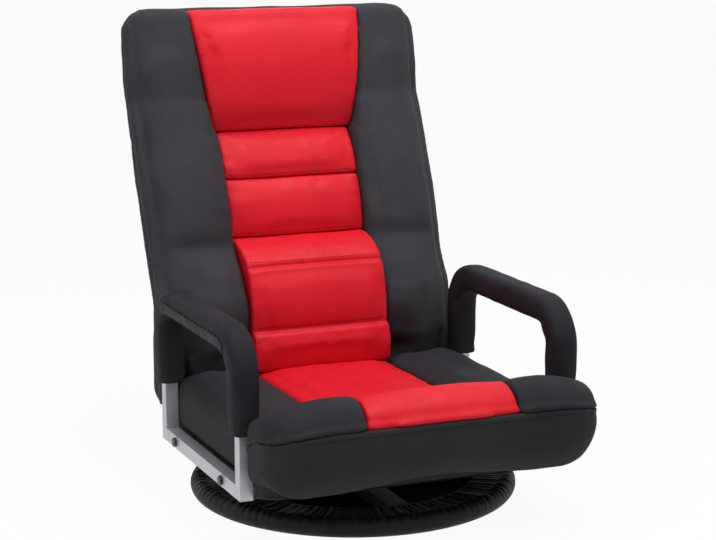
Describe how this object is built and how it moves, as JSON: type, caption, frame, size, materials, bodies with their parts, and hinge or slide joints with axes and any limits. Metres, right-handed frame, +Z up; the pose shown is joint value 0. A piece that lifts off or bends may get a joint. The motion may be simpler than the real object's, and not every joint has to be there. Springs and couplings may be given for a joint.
{
  "type": "floor gaming chair",
  "caption": "Legless floor chair with a swivelling ring base, a padded seat with bolted armrests, and a padded ratchet recliner back in black with red panels.",
  "frame": {"origin": "on the floor, under the swivel axis at the centre of the base ring", "axes": "+Z up along the swivel axis; the chair faces -Y, so the sitter's left is +X"},
  "size_m": [0.548, 0.7329, 0.7294],
  "materials": {
    "zinc_steel": "zinc plated sheet",
    "black_steel": "black powder coat",
    "silver_steel": "silver powder coat",
    "dark_bolt": "black oxide",
    "ball_steel": "polished balls",
    "cage_plastic": "natural nylon",
    "webbing": "black non-woven and webbing",
    "base_cloth": "black cover cloth with a gathered hem",
    "arm_sleeve": "black knitted sleeve over foam",
    "black_mesh": "black air mesh over foam",
    "red_cover": "red coated upholstery over foam"
  },
  "bodies": {
    "base": {"base_ring": "black_steel", "base_cross": "black_steel", "base_cover_disc": "base_cloth", "base_cover_band": "base_cloth", "swivel_lower_plate": "zinc_steel", "swivel_lower_bolts": "zinc_steel"},
    "ball_set": {"swivel_balls": "ball_steel", "swivel_cage": "cage_plastic"},
    "seat": {"swivel_upper_dish": "zinc_steel", "swivel_upper_bolts": "zinc_steel", "swivel_king_pin": "zinc_steel", "swivel_king_nut": "zinc_steel", "seat_side_rail_left": "black_steel", "seat_side_rail_right": "black_steel", "seat_front_rail": "black_steel", "seat_rear_rail": "black_steel", "seat_crossbars": "black_steel", "seat_webbing": "webbing", "seat_underside_cloth": "webbing", "arm_bracket_left": "silver_steel", "arm_bracket_right": "silver_steel", "arm_tube_left": "black_steel", "arm_tube_right": "black_steel", "arm_bolts_left": "dark_bolt", "arm_bolts_right": "dark_bolt", "arm_pad_left": "arm_sleeve", "arm_pad_right": "arm_sleeve", "hinge_bracket_left": "zinc_steel", "hinge_bracket_right": "zinc_steel", "hinge_pin_left": "zinc_steel", "hinge_pin_right": "zinc_steel", "pawl_pin_left": "zinc_steel", "pawl_pin_right": "zinc_steel", "seat_centre_pad": "red_cover", "seat_side_pad_left": "black_mesh", "seat_side_pad_right": "black_mesh", "front_roll_centre": "red_cover", "front_roll_side_left": "black_mesh", "front_roll_side_right": "black_mesh", "seat_apron": "black_mesh"},
    "back": {"hinge_ratchet_left": "zinc_steel", "hinge_ratchet_right": "zinc_steel", "back_frame": "black_steel", "back_cross_tubes": "black_steel", "lumbar_pad": "red_cover", "waist_pad": "red_cover", "chest_pad": "red_cover", "head_pad": "red_cover", "back_bolster_left": "black_mesh", "back_bolster_right": "black_mesh", "back_rear_panel": "black_mesh"},
    "pawl_left": {"hinge_pawl_left": "zinc_steel"},
    "pawl_right": {"hinge_pawl_right": "zinc_steel"}
  },
  "joints": [
    {"name": "swivel", "type": "hinge", "parent": "base", "child": "seat", "pos_m": [0, 0, 0.035], "axis": [0, 0, 1], "continuous": true},
    {"name": "ball_orbit", "type": "hinge", "parent": "base", "child": "ball_set", "pos_m": [0, 0, 0.035], "axis": [0, 0, 1], "continuous": true},
    {"name": "recline", "type": "hinge", "parent": "seat", "child": "back", "pos_m": [0, 0.19, 0.135], "axis": [-1, 0, 0], "range_deg": [0, 70]},
    {"name": "pawl_left_swing", "type": "hinge", "parent": "seat", "child": "pawl_left", "pos_m": [0, 0.17441, 0.10417], "axis": [1, 0, 0], "range_deg": [0, 13]},
    {"name": "pawl_right_swing", "type": "hinge", "parent": "seat", "child": "pawl_right", "pos_m": [0, 0.17441, 0.10417], "axis": [1, 0, 0], "range_deg": [0, 13]}
  ],
  "couplings": [
    {"joint": "ball_orbit", "follows": "swivel", "ratio": 0.5},
    {"joint": "pawl_right_swing", "follows": "pawl_left_swing", "ratio": 1}
  ]
}
